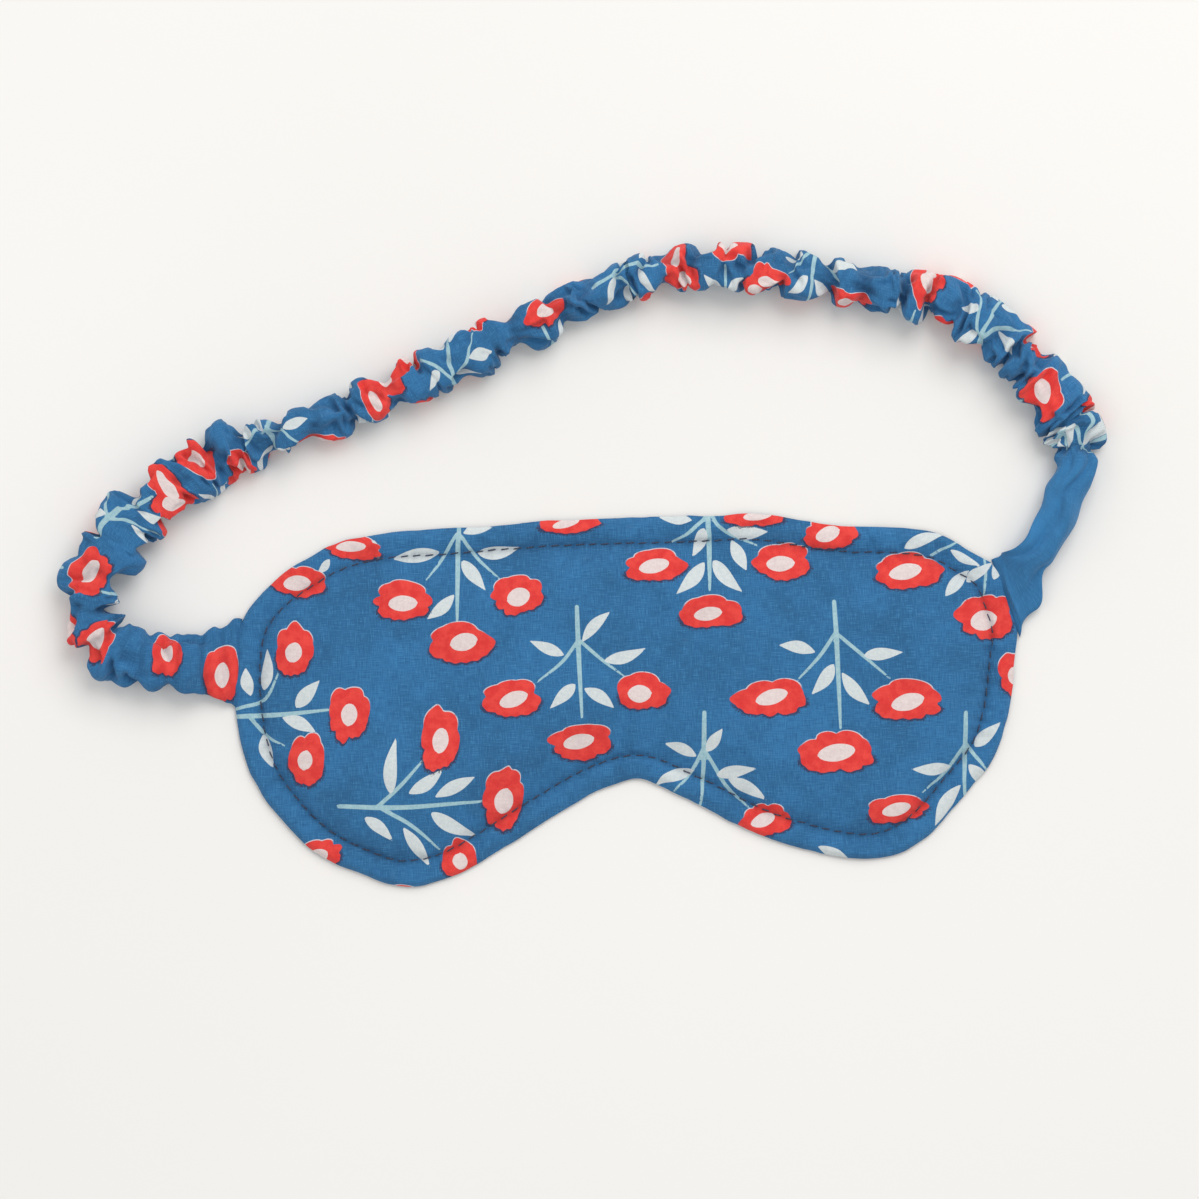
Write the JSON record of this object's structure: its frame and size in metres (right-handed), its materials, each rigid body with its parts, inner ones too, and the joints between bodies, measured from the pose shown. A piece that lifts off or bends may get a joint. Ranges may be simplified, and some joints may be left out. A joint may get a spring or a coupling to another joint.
{
  "type": "sleep mask",
  "caption": "Padded fabric eye patch covering both eyes, edge topstitched, with a ruched elastic strap that loops round the head.",
  "frame": {"origin": "at the nose of the mask, beside the fold line, on the back face the mask rests on", "axes": "+X along the mask's width, +Y towards the forehead edge and the strap, +Z out of the printed face"},
  "size_m": [0.2707, 0.1649, 0.0108],
  "materials": {
    "print_fabric": "printed plain-weave cotton, matte",
    "lining_fabric": "plain-weave cotton, matte",
    "wadding": "lofted polyester wadding",
    "thread": "twisted polyester sewing thread",
    "elastic": "braided elastic, matte"
  },
  "bodies": {
    "mask_left": {"front_panel_left": "print_fabric", "back_panel_left": "lining_fabric", "wadding_left": "wadding", "topstitch_thread_left": "thread", "bobbin_thread_left": "thread", "closing_thread_left": "thread", "bar_tack_left": "thread"},
    "tab_left": {"casing_tab_left": "print_fabric", "elastic_tab_left": "elastic"},
    "arm_left": {"casing_arm_left": "print_fabric", "elastic_arm_left": "elastic"},
    "crown_left": {"casing_crown_left": "print_fabric", "elastic_crown_left": "elastic"},
    "mask_right": {"front_panel_right": "print_fabric", "back_panel_right": "lining_fabric", "wadding_right": "wadding", "topstitch_thread_right": "thread", "bobbin_thread_right": "thread", "closing_thread_right": "thread", "bar_tack_right": "thread"},
    "tab_right": {"casing_tab_right": "print_fabric", "elastic_tab_right": "elastic"},
    "arm_right": {"casing_arm_right": "print_fabric", "elastic_arm_right": "elastic"},
    "crown_right": {"casing_crown_right": "print_fabric", "elastic_crown_right": "elastic"}
  },
  "joints": [
    {"name": "nose_bend", "type": "hinge", "parent": "mask_left", "child": "mask_right", "pos_m": [0.0009, 0, 0.0055], "axis": [0, -1, 0], "range_deg": [0, 40]},
    {"name": "tab_yaw_left", "type": "hinge", "parent": "mask_left", "child": "tab_left", "pos_m": [-0.10085, 0, -0.01244], "axis": [0, -1, 0], "range_deg": [0, 20]},
    {"name": "tab_yaw_right", "type": "hinge", "parent": "mask_right", "child": "tab_right", "pos_m": [0.10265, 0, -0.01244], "axis": [0, -1, 0], "range_deg": [-20, 0]},
    {"name": "strap_swing_left", "type": "hinge", "parent": "tab_left", "child": "arm_left", "pos_m": [-0.1055, 0.0135, 0.0056], "axis": [0.9991, 0.0417, 0], "range_deg": [0, 120]},
    {"name": "strap_swing_right", "type": "hinge", "parent": "tab_right", "child": "arm_right", "pos_m": [0.098, 0.022, 0.0056], "axis": [0.9991, 0.0417, 0], "range_deg": [0, 120]},
    {"name": "strap_stretch_left", "type": "slide", "parent": "arm_left", "child": "crown_left", "axis": [-0.0417, 0.9991, 0], "range_m": [0, 0.04]},
    {"name": "strap_stretch_right", "type": "slide", "parent": "arm_right", "child": "crown_right", "axis": [-0.0417, 0.9991, 0], "range_m": [0, 0.04]}
  ],
  "couplings": [
    {"joint": "tab_yaw_left", "follows": "nose_bend", "ratio": 0.5},
    {"joint": "tab_yaw_right", "follows": "nose_bend", "ratio": -0.5},
    {"joint": "strap_swing_right", "follows": "strap_swing_left", "ratio": 1},
    {"joint": "strap_stretch_right", "follows": "strap_stretch_left", "ratio": 1}
  ]
}
